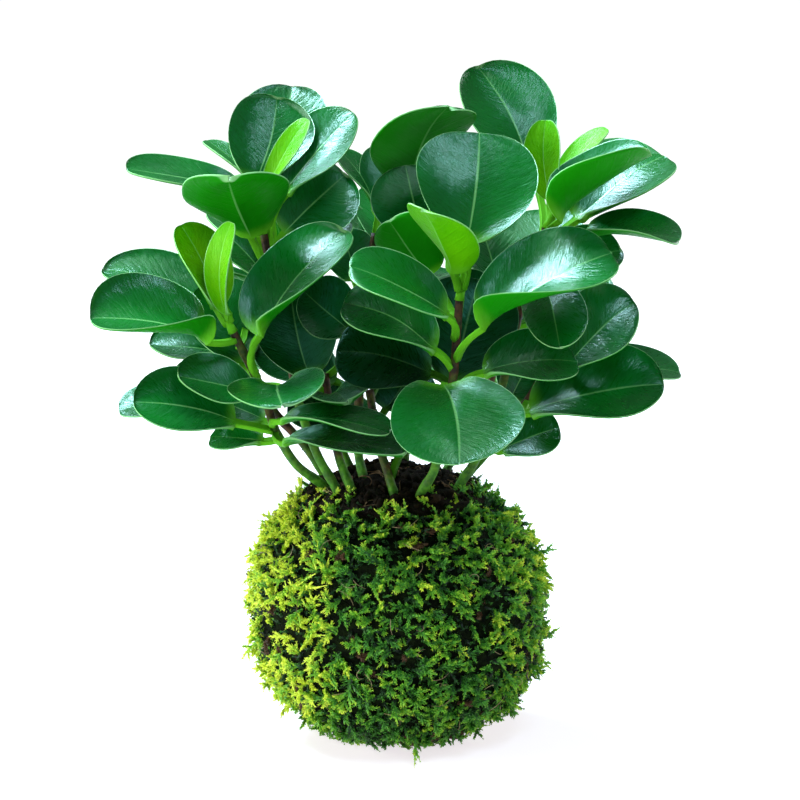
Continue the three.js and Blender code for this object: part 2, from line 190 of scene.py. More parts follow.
stem("left", (-27, -9, 86), (-28, -10, 102), (-41, -17, 115), (-49, -22, 130), (-53, -24, 144),
     (-60, -28, 160), (-65, -31, 171))
leaf(5.7, (-74, -37, 168), (-118, -48, 178), 49, (0.1, -0.42, 0.9), cup=33, funnel=1, twist=26)
leaf(5.4, (-69, -4, 175), (-118, 2, 190), 36, (0.3, -0.4, 0.87))
leaf(4.5, (-55, -39, 170), (-22, -20, 208), 43, (-0.42, -0.52, 0.72), cup=20, funnel=0.8, twist=-20)
leaf(4.3, (-47, -36, 150), (-44, -74, 149), 41, (-0.15, 0, 1))
leaf(4.1, (-57, -28, 145), (-86, -38, 154), 28, (0.1, -0.6, 0.8))
leaf(3.0, (-64, -31, 135), (-103, -40, 144), 36, (0.25, -0.6, 0.76))
leaf(2.8, (-54, -22, 126), (-75, -16, 126), 21, (0, -0.5, 0.86))
leaf(3.0, (-45, -30, 127), (2, -50, 125), 34, (0, -0.14, 0.99), cup=10)
leaf(3.2, (-46, -32, 136), (-4, -47, 133), 30, (0, -0.12, 0.99), cup=12)
leaf(3.0, (-54, -16, 133), (-73, -8, 139), 24, (0.1, -0.6, 0.8))
leaf(4.6, (-62, -17, 156), (-74, -9, 187), 33, (0.1, -0.9, 0.4))
young_leaf((-67, -34, 177), (-64, -40, 214), 15, (-0.7, -0.7, 0), arch=0.14)
young_leaf((-70, -28, 179), (-85, -24, 211), 27, (0.4, -0.5, 0.7))

stem("top_left", (-24, -17, 86), (-24, -18, 102), (-33, -18, 120), (-41, -10, 142), (-45, -6, 168),
     (-50, -5, 187), (-54, -4, 206))
leaf(5.4, (-62, 0, 222), (-107, -13, 232), 31, (0.12, -0.3, 0.95), arch=0.02)
leaf(5.1, (-58, -14, 206), (-65, -41, 230), 46, (0, 0.63, 0.77), funnel=0.6)
leaf(5.3, (-57, 4, 225), (-49, 17, 257), 38, (0, -0.89, 0.45))
leaf(5.0, (-51, 14, 220), (-43, 36, 261), 40, (0, -0.8, 0.5))
leaf(5.5, (-46, -1, 221), (-18, 3, 252), 36, (-0.35, -0.55, 0.75), cup=12, arch=0.02)
leaf(4.8, (-46, 2, 205), (-22, 12, 227), 38, (0.1, -0.8, 0.5))
leaf(4.4, (-38, 0, 194), (-21, 8, 209), 27, (-0.3, -0.5, 0.8))
leaf(5.2, (-58, 10, 224), (-78, 24, 240), 16, (0.4, -0.3, 0.8))
leaf(4.6, (-53, 2, 186), (-72, 6, 206), 26, (0.3, -0.6, 0.7))
young_leaf((-53, -12, 222), (-36, -9, 251), 12, (-0.5, -0.7, 0.4))

stem("low_left", (-28, 6, 86), (-29, 6, 102), (-38, 4, 118), (-50, 3, 132), (-58, 3, 146))
leaf(3.2, (-73, -2, 134), (-112, -8, 136), 32, (0, -0.3, 0.95))
leaf(3.9, (-73, 4, 157), (-100, 2, 160), 28, (0, -0.4, 0.9))
leaf(3.6, (-60, 14, 142), (-92, 28, 146), 32, (0.1, -0.2, 0.95))
leaf(2.0, (-36, 14, 126), (-10, 28, 130), 26, (0, -0.5, 0.85))

stem("front", (-17, -20, 86), (-18, -21, 102), (-24, -16, 117), (-27, -9, 132), (-30, -8, 150))
leaf(3.6, (-36, -12, 150), (-43, -10, 184), 36, (0.15, -0.9, 0.3))
leaf(3.3, (-27, -15, 143), (-20, -42, 144), 28, (-0.2, -0.1, 0.95))
leaf(3.9, (-20, -13, 168), (-38, -15, 184), 30, (0.1, -0.8, 0.6))

stem("centre", (7, -24, 86), (7, -25, 102), (14, -29, 117), (19, -31, 143), (21, -32, 156),
     (22, -33, 171), (23, -34, 184))
leaf(5.2, (26, -25, 204), (31, -11, 246), 52, (0, -0.9, 0.42))
leaf(4.3, (31, -44, 174), (81, -40, 202), 50, (-0.22, -0.52, 0.84), cup=32, funnel=1, twist=-38)
leaf(4.8, (18, -44, 179), (-19, -58, 199), 36, (0.2, -0.5, 0.84))
leaf(4.0, (14, -36, 164), (-22, -38, 183), 38, (0.3, -0.5, 0.8))
leaf(3.2, (17, -40, 151), (22, -82, 128), 55, (0, -0.46, 0.89), cup=10)
leaf(3.4, (12, -24, 153), (-25, -28, 162), 36, (0.2, -0.8, 0.55))
leaf(3.1, (32, -34, 155), (69, -30, 158), 34, (-0.05, -0.5, 0.86))
leaf(5.4, (12, -14, 190), (-4, -18, 212), 34, (0.3, 0.8, 0.5))
leaf(3.4, (21, -18, 148), (31, -8, 188), 44, (0, -0.92, 0.35))
young_leaf((21, -39, 195), (8, -58, 221), 32, (0.6, 0.5, 0.6), funnel=0.6)
young_leaf((25, -41, 197), (26, -43, 210), 7, (-0.6, -0.6, 0.2))

stem("forked", (-2, -25, 86), (-2, -26, 102), (-4, -23, 110), (-9, -18, 126), (-12, -12, 144))
leaf(2.0, (8, -14, 128), (30, 2, 134), 26, (-0.2, -0.5, 0.8))
leaf(3.9, (-5, -6, 154), (6, 10, 172), 28, (0, -0.6, 0.8))

stem("back_centre", (-12, -12, 86), (-13, -13, 102), (-17, -3, 120), (-16, 7, 145), (-14, 14, 176),
     (-10, 17, 203))
leaf(4.9, (3, 17, 221), (19, -7, 256), 48, (-0.4, 0.62, 0.66), cup=8)
leaf(4.8, (-9, 23, 212), (-25, 28, 236), 20, (0.8, -0.5, 0.5))
leaf(4.9, (-8, 24, 214), (-4, 36, 236), 26, (0, -0.8, 0.5))
leaf(4.2, (8, 6, 203), (2, 0, 232), 36, (-0.2, -0.9, 0.1))
leaf(3.8, (-18, 16, 184), (-24, 18, 204), 24, (0.1, -0.9, 0.3))
leaf(2.8, (-26, 12, 144), (-58, 15, 156), 30, (0.2, -0.7, 0.6))
leaf(2.3, (-6, 12, 132), (5, 19, 150), 32, (0, -0.8, 0.5))
leaf(2.1, (-20, 4, 128), (-42, 15, 138), 30, (0, -0.8, 0.6))

stem("right", (21, -11, 86), (22, -12, 102), (31, -12, 118), (40, -8, 143), (46, -5, 169),
     (51, -4, 191), (58, -3, 208))
leaf(5.6, (61, -23, 213), (97, -25, 238), 50, (-0.58, 0.04, 0.8), cup=50, funnel=0.9)
leaf(5.5, (70, 8, 210), (106, 20, 234), 53, (-0.4, -0.5, 0.75), cup=30)
leaf(5.3, (72, -8, 205), (109, -20, 205), 36, (0, -0.18, 0.98), cup=32)
leaf(5.8, (53, 24, 227), (32, 43, 268), 43, (0.3, -0.86, 0.42))
leaf(5.0, (58, 2, 190), (88, 8, 197), 32, (-0.1, -0.6, 0.8))
leaf(4.6, (57, -16, 188), (61, -48, 166), 28, (0, -0.5, 0.85))
leaf(3.6, (38, 6, 163), (20, 12, 186), 30, (0.3, -0.8, 0.5))
leaf(4.4, (56, 6, 176), (84, 14, 184), 32, (-0.1, -0.6, 0.8))
young_leaf((59, 2, 218), (57, 0, 250), 18, (-0.5, -0.8, 0.2))
young_leaf((61, 6, 220), (82, 10, 246), 15, (-0.7, -0.5, 0.5))

stem("low_right", (23, 3, 86), (24, 3, 102), (33, 1, 114), (42, -4, 126), (50, -8, 138),
     (56, -8, 148))
leaf(4.8, (65, -14, 154), (92, -18, 180), 42, (-0.4, -0.6, 0.7))
leaf(4.2, (51, -20, 137), (103, -23, 148), 48, (0, -0.52, 0.85))
leaf(4.7, (74, 6, 147), (113, 10, 148), 32, (0, -0.35, 0.93))
leaf(3.2, (40, -16, 121), (63, -18, 130), 26, (0, -0.65, 0.75))
leaf(4.0, (44, 4, 137), (57, 10, 160), 28, (0, -0.9, 0.35))

stem("back_left", (-17, 13, 86), (-18, 14, 102), (-30, 27, 124), (-38, 36, 148), (-44, 42, 170))
ray(3.9, 150, 45, 14, 42, 38)
ray(3.9, 100, 40, 12, 44, 40)
ray(3.6, 186, 18, 16, 40, 36)
ray(3.0, 120, 10, 16, 42, 40)
ray(3.8, 255, 62, 12, 40, 36)
ray(2.2, 152, 0, 18, 34, 28)

stem("back_middle", (2, 19, 86), (2, 20, 102), (2, 34, 124), (0, 45, 150), (-2, 50, 178))
ray(4.0, 90, 40, 12, 44, 40)
ray(3.9, 20, 50, 12, 40, 38)
ray(3.9, 165, 50, 12, 40, 38)
ray(3.3, 60, 10, 16, 40, 38)
ray(3.1, 125, 5, 16, 40, 38)
ray(2.2, 85, -10, 16, 36, 34)

stem("back_right", (16, 13, 86), (17, 14, 102), (30, 26, 124), (40, 34, 148), (48, 40, 168))
ray(4.0, 60, 45, 12, 42, 38)
ray(3.9, 5, 40, 12, 44, 40)
ray(3.8, 115, 50, 12, 40, 36)
ray(3.2, 20, 10, 16, 40, 38)
ray(3.0, 70, 5, 16, 40, 38)
ray(2.2, 40, -10, 16, 36, 32)


class Sheets:
    """Collects the points, faces, materials and point values of one piece."""

    def __init__(self):
        self.points = []
        self.faces = []
        self.values = {}
        self.count = 0

    def add(self, points, faces, **values):
        """Adds points, and lists of faces by their material number."""
        self.points.append(points)
        for material, group in faces.items():
            self.faces += [(corners + self.count, material) for corners in group]
        for name, value in values.items():
            self.values.setdefault(name, []).append(np.broadcast_to(value, len(points)))
        self.count += len(points)

    def build(self, name, materials, smooth=True):
        """Makes the object, in metres."""
        mesh = bpy.data.meshes.new(name)
        points = np.concatenate(self.points) * MM
        corners = np.concatenate([faces.ravel() for faces, _ in self.faces])
        sizes = np.concatenate([np.full(len(faces), faces.shape[1]) for faces, _ in self.faces])
        numbers = np.concatenate([np.full(len(faces), number) for faces, number in self.faces])
        mesh.vertices.add(len(points))
        mesh.vertices.foreach_set("co", points.astype(np.float32).ravel())
        mesh.loops.add(len(corners))
        mesh.loops.foreach_set("vertex_index", corners.astype(np.int32))
        mesh.polygons.add(len(sizes))
        mesh.polygons.foreach_set("loop_start", (np.cumsum(sizes) - sizes).astype(np.int32))
        for material in materials:
            mesh.materials.append(material)
        mesh.polygons.foreach_set("material_index", numbers.astype(np.int32))
        mesh.polygons.foreach_set("use_smooth", np.full(len(sizes), smooth))
        mesh.update(calc_edges=True)
        for key, chunks in self.values.items():
            layer = mesh.attributes.new(key, "FLOAT", "POINT")
            layer.data.foreach_set("value", np.concatenate(chunks).astype(np.float32))
        mesh.validate()
        piece = bpy.data.objects.new(name, mesh)
        bpy.context.scene.collection.objects.link(piece)
        return piece


def joined(*corners):
    """Faces from the columns of their corners."""
    return np.stack(np.broadcast_arrays(*corners), axis=1)


def grid_faces(rows, columns, first=0, flip=False):
    """The four-cornered faces of a grid of points, row after row."""
    i, j = np.meshgrid(np.arange(rows - 1), np.arange(columns - 1), indexing="ij")
    a = (first + i * columns + j).ravel()
    quads = joined(a, a + 1, a + columns + 1, a + columns)
    return quads[:, ::-1] if flip else quads


def ring_faces(rings, sides, outward=True):
    """The four-cornered faces of closed rings of points, one after another."""
    i, j = np.meshgrid(np.arange(rings - 1), np.arange(sides), indexing="ij")
    a = (i * sides + j).ravel()
    b = (i * sides + (j + 1) % sides).ravel()
    if outward:
        return joined(a, b, b + sides, a + sides)
    return joined(a, a + sides, b + sides, b)


def ring_caps(rings, sides):
    """The faces that close the first and the last of the rings."""
    ring = np.arange(sides)
    return ring[::-1][None], ((rings - 1) * sides + ring)[None]


def compass(sides):
    """Evenly spread turns."""
    return np.linspace(0, 2 * np.pi, sides, endpoint=False)


def add_tube(sheets, centres, radii, sides, material, **values):
    """A closed tube through the centres, with its own radius at each."""
    centres = np.asarray(centres, float)
    radii = np.broadcast_to(radii, len(centres))
    along = unit(np.gradient(centres, axis=0))
    across = unit(np.cross(along, TUBE_HELPER))
    other = np.cross(along, across)
    turn = compass(sides)[:, None]
    ring = across[:, None] * np.cos(turn) + other[:, None] * np.sin(turn)
    points = (centres[:, None] + ring * radii[:, None, None]).reshape(-1, 3)
    faces = ring_faces(len(centres), sides), *ring_caps(len(centres), sides)
    per_point = {key: np.repeat(np.broadcast_to(value, len(centres)), sides)
                 for key, value in values.items()}
    sheets.add(points, {material: faces}, **per_point)


def leaf_rows(start, spec):
    """The rows of a leaf from its stem to its tip: their middles, directions, upward sides, half
    widths, rolls, thicknesses and shares of the blade, and the blade's length."""
    base, tip = spec["base"], spec["tip"]
    length = np.linalg.norm(tip - base)
    along = (tip - base) / length
    up = unit(spec["face"] - np.dot(spec["face"], along) * along)
    bend = base - along * STALK_BEND * np.linalg.norm(start - base)
    t = np.arange(STALK_ROWS)[:, None] / STALK_ROWS
    stalk_middle = curve(start, bend, base, t)
    stalk_along = unit(2 * (1 - t) * (bend - start) + 2 * t * (base - bend))
    step = np.arange(BLADE_ROWS + 1) / BLADE_ROWS
    share = (1 - np.cos(np.pi * step)) / 2
    rise = 4 * spec["arch"]
    funnel = spec["funnel"]
    blade_middle = (base + length * share[:, None] * along
                    + (rise * length * share * (1 - share))[:, None] * up)
    blade_along = along + (rise * (1 - 2 * share))[:, None] * up
    fullness = OUTLINE_FULLNESS + (WIDE_FUNNEL_FULLNESS - OUTLINE_FULLNESS) * funnel
    bulge = np.abs(np.sin(np.pi * step)) ** fullness
    outline = spec["width"] / 2 * bulge * (1 - WEDGE * (1 - funnel) * (1 - share) ** 2)
    turned_up = FUNNEL_ROLL + (WIDE_FUNNEL_ROLL - FUNNEL_ROLL) * funnel
    neck = STALK_RADIUS * np.clip(1 - share / 0.25, 0, 1)
    roll = np.minimum(spec["cup"] + turned_up * (1 - share) ** 3, MOST_ROLL)
    early = np.clip(step * 6, 0, 1)
    thinning = (1 - np.clip(share / (0.3 - 0.18 * funnel), 0, 1)) ** 2

    def rows(stalk, blade):
        """A measure on the stalk's rows and then on the blade's, as a column."""
        return np.concatenate([np.broadcast_to(stalk, STALK_ROWS), blade])[:, None]

    twist = np.radians(spec["twist"]) * rows(1, (1 - share) ** 2)
    return (np.vstack([stalk_middle, blade_middle]),
            unit(np.vstack([stalk_along, blade_along])),
            np.cos(twist) * up + np.sin(twist) * np.cross(along, up),
            rows(STALK_HALF_WIDTH, np.maximum(outline, np.maximum(neck, LEAST_HALF_WIDTH))),
            np.radians(rows(STALK_ROLL, STALK_ROLL + (roll - STALK_ROLL) * early)),
            rows(STALK_THICKNESS, BLADE_THICKNESS + (STALK_THICKNESS - BLADE_THICKNESS) * thinning),
            rows(t.ravel() - 1, share), length)


def openness(spec):
    """How open to light a leaf stands, 0 deep inside, 1 outside, partly random; gives painted
    shade.
    """
    middle = (spec["base"] + spec["tip"]) / 2
    out = np.linalg.norm((middle - HEART) * HEART_SQUEEZE)
    return np.clip((out - DEEP) / (OPEN - DEEP), 0, 1) * OPEN_SHARE + rng.uniform(0, 1 - OPEN_SHARE)


def add_leaf(sheets, start, spec, youth=0):
    """One leaf: a waved blade with a rounded rim and a sunk midrib, on a channelled stalk."""
    middle, along, up, half, roll, thick, share, length = leaf_rows(start, spec)
    across = unit(np.cross(up, along))
    normal = np.cross(along, across)
    turn = ACROSS * roll
    radius = half / roll
    outward = (normal[:, None] * np.cos(turn)[..., None]
               - across[:, None] * np.sin(turn)[..., None])
    points = middle[:, None] + (normal[:, None] - outward) * radius[..., None]
    reach = ACROSS * half
    on_blade = np.clip(share / 0.12, 0, 1)
    blade = np.clip(share, 0, 1)

    phase = rng.uniform(0, 2 * np.pi, 4)
    edge = np.abs(ACROSS) ** 2.5
    side = np.sign(ACROSS)
    wave = EDGE_WAVE * edge * np.sin(2 * np.pi * (1.1 * blade + 0.18 * side) + phase[0])
    wave += RIPPLE * np.sin(6 * blade + 2.0 * ACROSS + phase[1])
    wave += DIMPLE * np.sin(9 * ACROSS - 5 * blade + phase[2]) * (1 - edge)
    curl = TIP_CURL * np.sin(phase[3]) * edge * blade ** 2
    scale = np.clip(spec["width"] / WAVED_WIDTH, 0.35, 1.2)
    points += outward * (on_blade * scale * (wave + curl))[..., None]

    notch = rng.uniform(0, NOTCH_DEPTH) * length
    at_tip = np.clip((blade - 0.75) / 0.25, 0, 1) ** 2
    dent = notch * np.exp(-(reach / (NOTCH_WIDTH * spec["width"])) ** 2) * at_tip
    skew = rng.uniform(-SKEW, SKEW) * spec["width"]
    points -= along[:, None] * dent[..., None]
    points += across[:, None] * (skew * np.sin(np.pi * blade) * on_blade)[..., None]

    rim = np.minimum((1 - np.abs(ACROSS)) * half, (1 - blade) * length)
    rounding = np.minimum(half, RIM_ROUNDING)
    depth = np.sqrt(1 - np.clip(1 - rim / rounding, 0, 1) ** 2)
    groove = GROOVE_DEPTH * np.exp(-(reach / GROOVE_WIDTH) ** 2) * on_blade * (1 - 0.8 * blade)
    keel = KEEL_DEPTH * np.exp(-(reach / KEEL_WIDTH) ** 2) * on_blade * (1 - 0.9 * blade)
    upper = points - outward * groove[..., None]
    lower = points - outward * (thick * depth + keel * depth)[..., None]
    stack = np.concatenate([upper, lower]).reshape(-1, 3)

    count, columns = upper.shape[:2]
    top = grid_faces(count, columns, flip=True)
    under = grid_faces(count, columns, first=count * columns)
    offset = count * columns
    left = np.arange(count - 1) * columns
    right = left + columns - 1
    rims = [joined(left, left + columns, left + columns + offset, left + offset),
            joined(right + columns, right, right + offset, right + columns + offset)]
    foot = np.concatenate([np.arange(columns), offset + np.arange(columns)[::-1]])[None]
    last = (count - 1) * columns + np.arange(columns)
    end = np.concatenate([last[::-1], offset + last])[None]
    is_blade = np.repeat(np.arange(count - 1) >= STALK_ROWS, columns - 1)
    tone = openness(spec)
    # Leaves deep inside get the copy with less coat: painted shade that dulls their gloss
    faces = {UPPER if tone > SHADED_TONE else SHADED_UPPER: [top[is_blade]],
             UNDERSIDE: [under[is_blade], top[~is_blade], under[~is_blade], *rims, foot, end]}
    whole = np.ones_like(reach)
    values = {"across": np.abs(ACROSS) * whole, "along": share * whole,
              "rim": np.where(share > 0, rim, FAR_FROM_RIM)}
    values = {key: np.tile(value, (2, 1)).ravel() for key, value in values.items()}
    sheets.add(stack, faces, **values, tone=tone, youth=youth, bark=0)


def add_stem(sheets, path):
    """A stem with leaf scars, a little thinner towards its top."""
    places = np.linspace(0, len(path) - 1, 9 * (len(path) - 1) + 1)
    centres = np.array([stem_point(path, at) for at in places])
    share = places / places[-1]
    knots = 1 + SCAR_SWELL * np.maximum(0, np.sin(places * SCAR_SPACING)) ** 6
    radii = STEM_RADIUS * STEM_SLIMNESS * (1 - STEM_TAPER * share) * knots
    add_tube(sheets, centres, radii, STEM_SIDES, BARK, across=1, along=-1, rim=FAR_FROM_RIM,
             tone=rng.uniform(), youth=0, bark=np.clip((share - BARK_START) / BARK_FADE, 0, 1))


def foliage(plant, grown_materials, young_materials):
    """The stem with its leaves, and the young shoot at its tip."""
    name, path = plant["name"], plant["path"]
    grown = Sheets()
    add_stem(grown, path)
    for spec in plant["leaves"]:
        add_leaf(grown, stem_point(path, spec["at"]), spec)
    pieces = [(grown.build(f"{name}_foliage", grown_materials), f"{name}_leafy_stem", "leaf")]
    if plant["young"]:
        tip = np.array(path[-1], float)
        heading = unit(tip - np.array(path[-2], float))
        shoot = Sheets()
        add_tube(shoot, [tip - heading, tip + heading, tip + heading * (CROWN_RISE + 1)],
                 SHOOT_CROWN_RADII, 10, UNDERSIDE, across=1, along=-1, rim=FAR_FROM_RIM, tone=0.5,
                 youth=1, bark=0)
        for spec in plant["young"]:
            add_leaf(shoot, tip + heading * CROWN_RISE, spec, youth=1)
        pieces.append((shoot.build(f"{name}_young_leaves", young_materials),
                       f"{name}_young_shoot", "young_leaf"))
    return pieces


# The moss, in millimetres, degrees or shares

MAT_INSET = 3.6
MAT_LUMPS = 1.2
SECTORS = ("right", "back_right", "back_left", "left", "front_left", "front_right")
SPRIG_COUNT = 2080
SPRIG_LENGTHS = (7.5, 12.5)
CUSHION_COUNT = 420
CUSHION_RADIUS = 5.6
MOSS_FLOW = np.array([0.0, 0.0, -0.25])
LONG_SHARE = 0.05
LONG_GROWTH = 1.3
DRY_SHARE = 0.035
DRY_HEIGHT = 26
BRANCHES = (0.2, 0.38, 0.55)
BRANCH_REACH = 0.5
BRANCH_ROWS = 4
BRANCH_GIRTH = 0.94
MAIN_ROWS = 9
MAIN_GIRTH = 1.22
SHOOT_SIDES = 3
BODY_SHARE = 0.62
LEAFLET_HALF_WIDTH = 0.48
LEAFLET_OUT = 0.74
LEAFLET_AHEAD = 0.72
LEAFLET_FACES = np.array([(0, 3, 1), (0, 2, 3), (1, 3, 2), (0, 1, 2)])
LOW_COUNT = 2500
LOW_LENGTHS = (2.6, 5.0)
LOW_ROWS = 2
LOW_GIRTH = 0.9
THREAD_COUNT = 160
THREAD_INSET = 1.5
THREAD_RADIUS = 0.16
THREAD_LENGTHS = (4, 10)
THREAD_CURL = 3.2
SPRIG_LIFT = 50
OUTER_LIFT_FALL = 30
LIFT_SPREAD = 13
DRY_LENGTH = 0.65

# Tones of the moss, from dark at 0 to bright at 1, and below 0 for dry

MIDDLE_TONE = 0.41
TONE_SPREAD = 0.18
CUSHION_SPREAD = 0.2
SUN_ON_LEFT = 0.82
SUN_ON_RIGHT = 0.36
BACK_SHADE = 0.65
LOW_SHADE = 0.34
# Lighter and darker patches of moss, from the wavy lump pattern
LUMP_TONE = 0.16
CROWN_LIGHT = 0.14
# The low growth's dark tones: its own colour and painted shade in the gaps
LOW_TONES = (0.0, 0.42)
DRY_TONE = -1


def ball_point(inset, angle, turn):
    """A point of the ball, inset from its outside, at a height angle and a compass turn."""
    reach = (BALL_RADIUS - inset) * np.abs(np.cos(angle)) ** BALL_SQUARENESS
    rise = np.sign(angle) * np.abs(np.sin(angle)) ** BALL_SQUARENESS
    z = BALL_CENTRE_HEIGHT + (BALL_HALF_HEIGHT - inset) * rise
    share = z / BALL_TOP
    x = reach * np.cos(turn) - BALL_LEAN * share ** 2
    return np.stack(np.broadcast_arrays(x, reach * np.sin(turn), z), axis=-1)


def top_angle(inset, radius):
    """The height angle at which the inset ball has this radius."""
    return np.arccos((radius / (BALL_RADIUS - inset)) ** (1 / BALL_SQUARENESS))


def ball_lumps(angle, turn):
    """Soft lumps of the moss, from -1 to 1."""
    return (np.sin(5 * turn + 4 * angle + 2 * np.sin(2 * turn))
            + np.sin(9 * turn - 7 * angle + 1.3) + np.sin(14 * angle + 3 * turn)) / 3


def even_places(count, jitter):
    """Evenly spread height angles and compass turns over the open ball."""
    k = np.arange(count)
    height = -1 + 2 * (k + 0.5) / count + rng.normal(0, jitter / count, count)
    turn = k * np.pi * (3 - math.sqrt(5)) + rng.normal(0, jitter / count ** 0.5, count)
    angle = np.arcsin(np.clip(height, -1, 1))
    rim = top_angle(MAT_INSET, OPENING_RADIUS - 3 + 2 * np.sin(3 * turn) + np.sin(8 * turn))
    keep = (angle < rim) & (angle > -1.38)
    return angle[keep], turn[keep]


def moss_mat(material):
    """The mat under the fronds, open round the plant, near-black: its own dark and painted shade.
    """
    sectors, outside, inside = 120, 60, 8
    turn = compass(sectors)
    rise = np.linspace(-np.pi / 2 + 0.02, top_angle(MAT_INSET, OPENING_RADIUS + 1), outside)
    back = np.linspace(top_angle(MOSS_THICKNESS, OPENING_RADIUS - 1), 0.6, inside)
    angle = rise[:, None]
    shell = ball_point(mat_inset(angle, turn), angle, turn)
    lining = ball_point(MOSS_THICKNESS, back[:, None], turn)
    points = np.concatenate([shell, lining]).reshape(-1, 3)
    points[:, 2] = np.maximum(points[:, 2], 0.2)
    rings = outside + inside
    mat = Sheets()
    mat.add(points, {0: [ring_faces(rings, sectors), *ring_caps(rings, sectors)]})
    return mat.build("moss_mat", [material])


def mat_inset(angle, turn):
    """How deep the lumpy mat lies."""
    return MAT_INSET - MAT_LUMPS * ball_lumps(angle, turn)


def surface(inset, angle, turn):
    """Points of the inset ball, and the way that it faces there."""
    root = ball_point(inset, angle, turn)
    step = 1e-3
    by_turn = ball_point(inset, angle, turn + step) - root
    by_angle = ball_point(inset, angle + step, turn) - root
    return root, unit(np.cross(by_turn, by_angle))


def sprig_roots():
    """Places for sprigs: root, outward direction, the way away from the cushion's middle, its
    distance as a share of the cushion, and the cushion's number."""
    angle, turn = even_places(SPRIG_COUNT, 0.9)
    root, outward = surface(mat_inset(angle, turn), angle, turn)
    middles = ball_point(MAT_INSET, *even_places(CUSHION_COUNT, 0.35))
    apart = root[:, None] - middles[None]
    nearest = np.argmin(np.sum(apart ** 2, axis=2), axis=1)
    away = apart[np.arange(len(root)), nearest]
    away = flattened(away, outward)
    far = np.linalg.norm(away, axis=1) / CUSHION_RADIUS
    root = root - outward * (1.5 * np.minimum(far, 1.2) ** 2)[:, None]
    return root, outward, away, far, nearest


def add_shoots(sheets, foot, bend, end, upward, near, tip, rows, girth, tone):
    """Tapered shoots that curve by their bend, each clad in rows of small pointed leaflets. near
    and tip are the rises of their two ends."""
    count = len(foot)
    sides = SHOOT_SIDES
    points = []
    rises = []
    faces = []
    rings = max(rows // 2, 2)

    def section(share):
        centre = curve(foot, bend, end, share)
        along = unit((1 - share) * (bend - foot) + share * (end - bend) + 1e-6)
        across = unit(np.cross(along, upward))
        return centre, along, across, np.cross(across, along)

    def fullness(share):
        return girth * (1 - share ** 3) * (0.6 + 0.4 * min(1, 4 * share)) + 0.05

    for ring in range(rings):
        share = ring / rings
        centre, _, across, over = section(share)
        for k in range(sides):
            turn = 2 * math.pi * k / sides
            points.append(centre + (across * math.cos(turn) + over * math.sin(turn) * 0.8)
                          * fullness(share) * BODY_SHARE)
            rises.append(near + (tip - near) * share - 0.12)
    points.append(end)
    rises.append(tip + 0.1)
    k = np.arange(sides)
    after = (k + 1) % sides
    for ring in range(rings - 1):
        low, high = ring * sides, (ring + 1) * sides
        faces.append(joined(k + low, after + low, after + high))
        faces.append(joined(k + low, after + high, k + high))
    last = (rings - 1) * sides
    faces.append(joined(k + last, after + last, rings * sides))
    faces.append(joined(0, k[2:], k[1:-1]))
    for row in range(rows):
        share = (row + 0.5) / rows
        centre, along, across, over = section(share)
        full = fullness(share)
        for k in range(sides):
            turn = 2 * math.pi * (k + 0.5 * (row % 2)) / sides + rng.normal(0, 0.25, (count, 1))
            out = across * np.cos(turn) + over * (0.8 * np.sin(turn))
            aside = np.cross(out, along)
            foot_of = centre + out * full * 0.35
            size = (full + 0.22) * rng.uniform(0.75, 1.3, (count, 1))
            first = len(points)
            points += [foot_of + aside * size * LEAFLET_HALF_WIDTH,
                       foot_of - aside * size * LEAFLET_HALF_WIDTH,
                       foot_of - along * size * 0.35 + out * size * 0.25,
                       foot_of + out * size * LEAFLET_OUT + along * size * LEAFLET_AHEAD]
            own = near + (tip - near) * share
            rises += [own, own, own, own + 0.3]
            faces.append(first + LEAFLET_FACES)
    triangles = np.concatenate(faces)
    size = len(points)
    first = size * np.arange(count)[:, None, None]
    stacked = np.stack(points, axis=1).reshape(-1, 3)
    stacked[:, 2] = np.maximum(stacked[:, 2], 0.25)
    sheets.add(stacked, {0: [(first + triangles[None]).reshape(-1, 3)]},
               rise=np.tile(rises, count), tone=np.repeat(tone, size))


def sprigs(root, outward, away, far, length, tone, name, material):
    """Curved sprigs with side shoots, in one piece."""
    count = len(root)
    loose = rng.normal(size=(count, 3))
    level = away / (np.linalg.norm(away, axis=1, keepdims=True) + 1.0) + 0.5 * loose + MOSS_FLOW
    level = unit(flattened(level, outward))
    lift = SPRIG_LIFT - OUTER_LIFT_FALL * far + rng.normal(0, LIFT_SPREAD, count)
    lift = np.radians(np.clip(lift, 6, 75))[:, None]
    heading = level * np.cos(lift) + outward * np.sin(lift)
    side = unit(np.cross(heading, outward + 0.3 * loose))
    upward = np.cross(side, heading)
    length = length[:, None]
    middle = root + heading * length * 0.55 + side * length * rng.normal(0, 0.16, (count, 1))
    end = (root + heading * length - outward * length * rng.uniform(-0.05, 0.45, (count, 1))
           + side * length * rng.normal(0, 0.22, (count, 1)))

    grown = Sheets()
    add_shoots(grown, root, middle, end, upward, 0.05, 0.9, MAIN_ROWS, MAIN_GIRTH, tone)
    for k, t in enumerate(BRANCHES):
        hand = 1 if k % 2 else -1
        start = curve(root, middle, end, t)
        spread = math.radians(56 - 14 * t) + rng.normal(0, 0.2, (count, 1))
        way = unit(heading * np.cos(spread) + hand * side * np.sin(spread)
                   + upward * rng.normal(0.15, 0.25, (count, 1)))
        reach = length * BRANCH_REACH * (1.15 - t) * rng.uniform(0.7, 1.3, (count, 1))
        bend = start + way * reach * 0.5 + upward * reach * rng.normal(0.08, 0.1, (count, 1))
        add_shoots(grown, start, bend, start + way * reach, upward, t * 0.7, t * 0.7 + 0.5,
                   BRANCH_ROWS, BRANCH_GIRTH, tone)
    return grown.build(name, [material], smooth=False)


